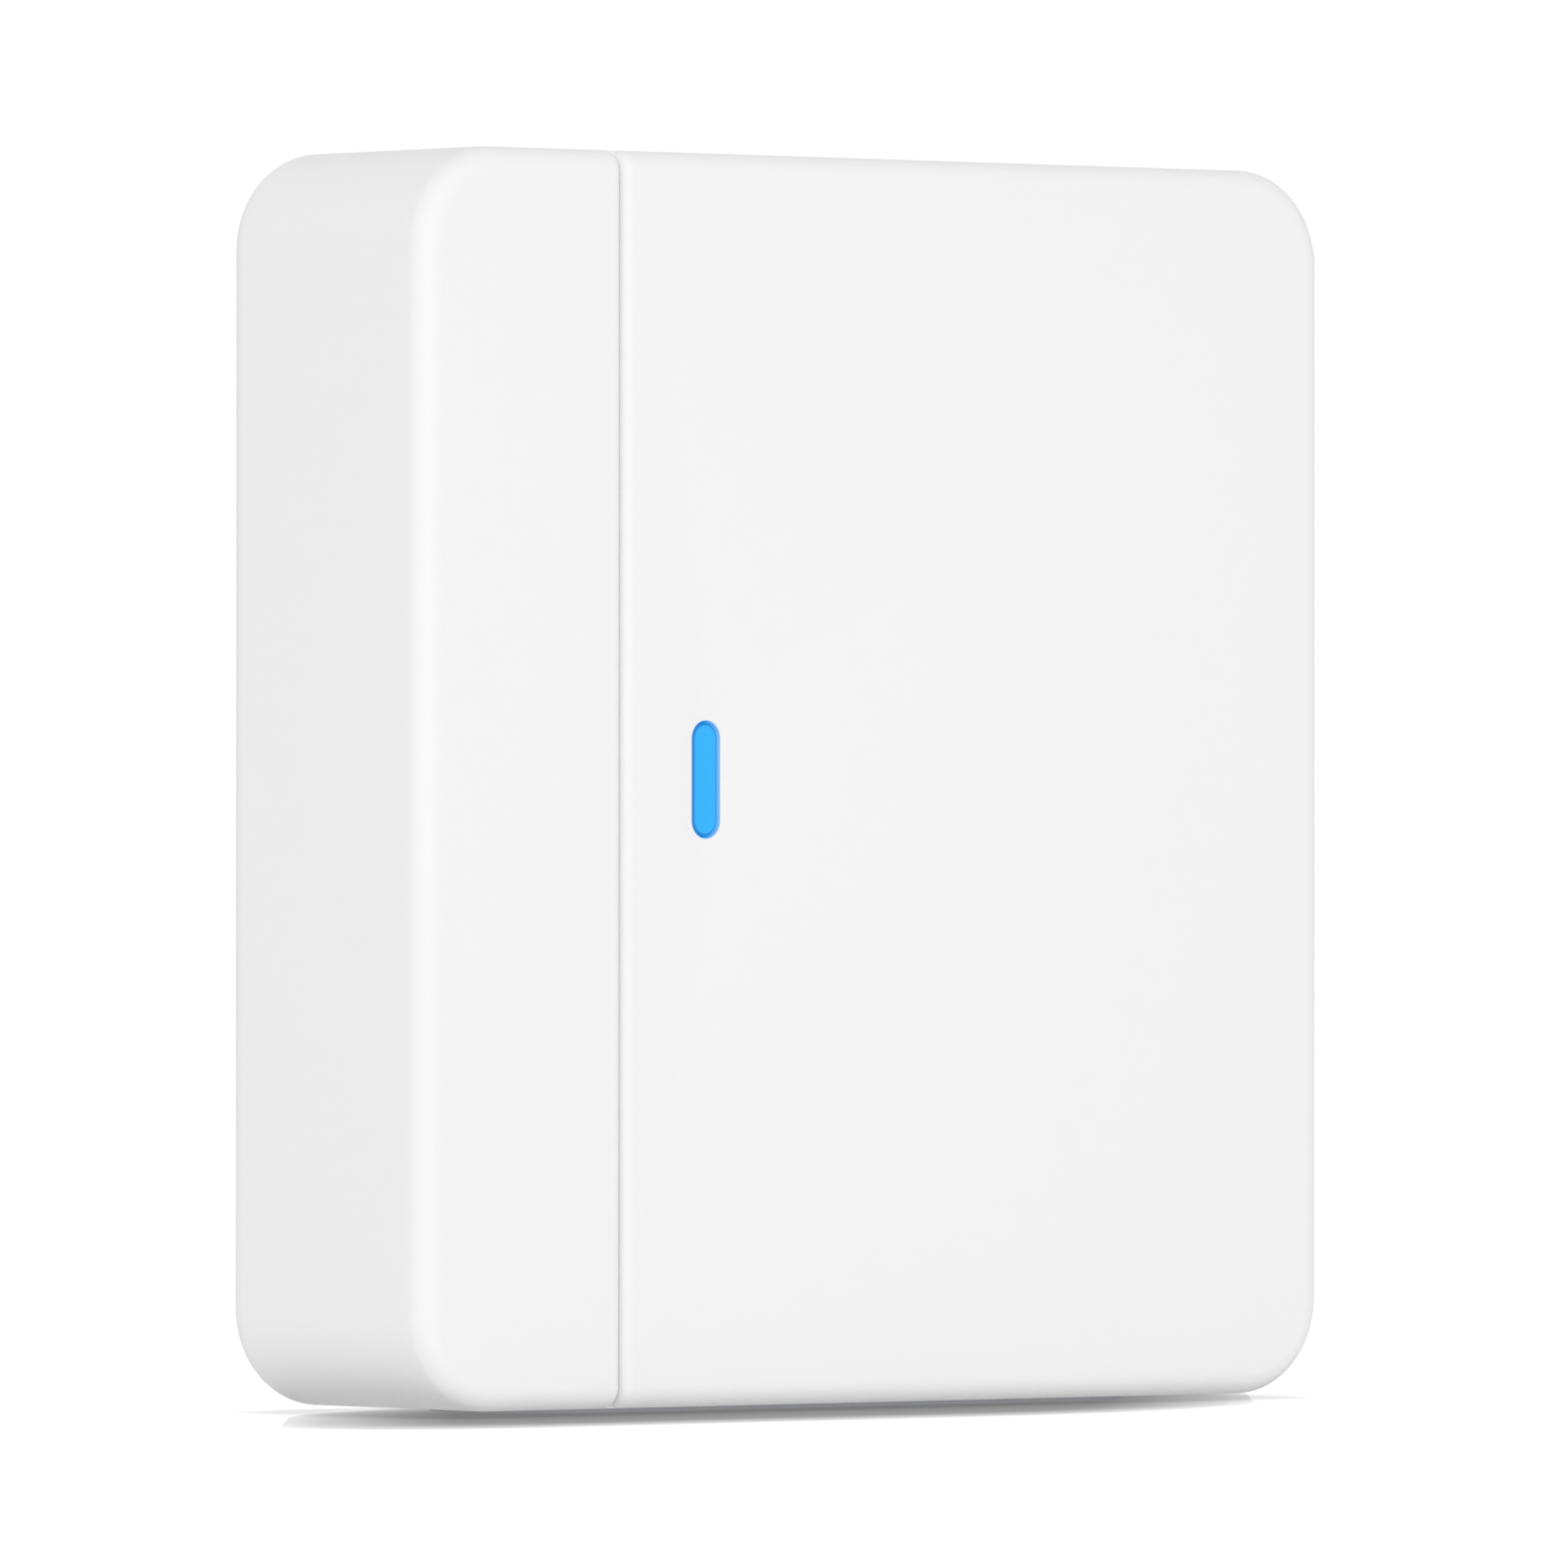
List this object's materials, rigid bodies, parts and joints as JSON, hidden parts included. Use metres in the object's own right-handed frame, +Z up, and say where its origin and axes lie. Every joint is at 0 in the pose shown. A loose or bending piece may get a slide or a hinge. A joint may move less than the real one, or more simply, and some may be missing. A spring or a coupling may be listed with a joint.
{
  "type": "smart home hub",
  "caption": "Upright rounded white hub with a grooved front, an upright pill-shaped status light, and network and power sockets with a pair button on its back.",
  "frame": {"origin": "under the middle of the hub, on the surface it stands on", "axes": "+Z up, +X to the hub's right when its front is viewed, front face towards -Y, ports on the +Y side"},
  "size_m": [0.173, 0.0474, 0.1848],
  "materials": {
    "case_white": "satin, finely textured",
    "rear_white": "matte, spark textured",
    "button_white": "satin",
    "status_light": "smooth, lit blue",
    "lamp_resin": "gloss",
    "foot_rubber": "matte",
    "label_film": "matte film, blank",
    "screw_steel": "plated",
    "can_steel": "tinned",
    "sink_aluminium": "anodised",
    "can_aluminium": "sleeved",
    "gold_contact": "gold plated",
    "board_green": "solder mask",
    "chip_black": "matte",
    "ferrite": "matte",
    "black_plastic": "matte",
    "thermal_pad": "soft matte",
    "plunger_red": "gloss"
  },
  "bodies": {
    "case": {"front_panel": "case_white", "side_strip": "case_white", "housing": "case_white", "rear_cover": "rear_white", "case_screws": "screw_steel", "rating_label": "label_film", "foot_pad": "foot_rubber", "light_pipe": "status_light", "light_shroud": "black_plastic", "status_leds": "lamp_resin", "main_board": "board_green", "board_screws": "screw_steel", "processor": "chip_black", "thermal_pad": "thermal_pad", "heat_sink": "sink_aluminium", "memory_chip": "chip_black", "flash_chip": "chip_black", "power_converter": "chip_black", "power_inductors": "ferrite", "capacitors": "can_aluminium", "crystals": "can_steel", "wifi_can": "can_steel", "mesh_radio_can": "can_steel", "sub_ghz_can": "can_steel", "wifi_antennas": "board_green", "mesh_antenna": "gold_contact", "sub_ghz_antenna": "gold_contact", "ethernet_shell": "can_steel", "ethernet_insert": "black_plastic", "ethernet_contacts": "gold_contact", "link_leds": "lamp_resin", "line_transformer": "black_plastic", "power_jack": "black_plastic", "power_pin": "can_steel", "switch_body": "black_plastic"},
    "button": {"pair_button": "button_white"},
    "plunger": {"switch_plunger": "plunger_red"}
  },
  "joints": [
    {"name": "button_press", "type": "slide", "parent": "case", "child": "button", "axis": [0, -1, 0], "range_m": [0, 0.0005], "stiffness_N_per_m": 1500},
    {"name": "plunger_press", "type": "slide", "parent": "case", "child": "plunger", "axis": [0, -1, 0], "range_m": [0, 0.0005]}
  ],
  "couplings": [
    {"joint": "plunger_press", "follows": "button_press", "ratio": 1}
  ]
}
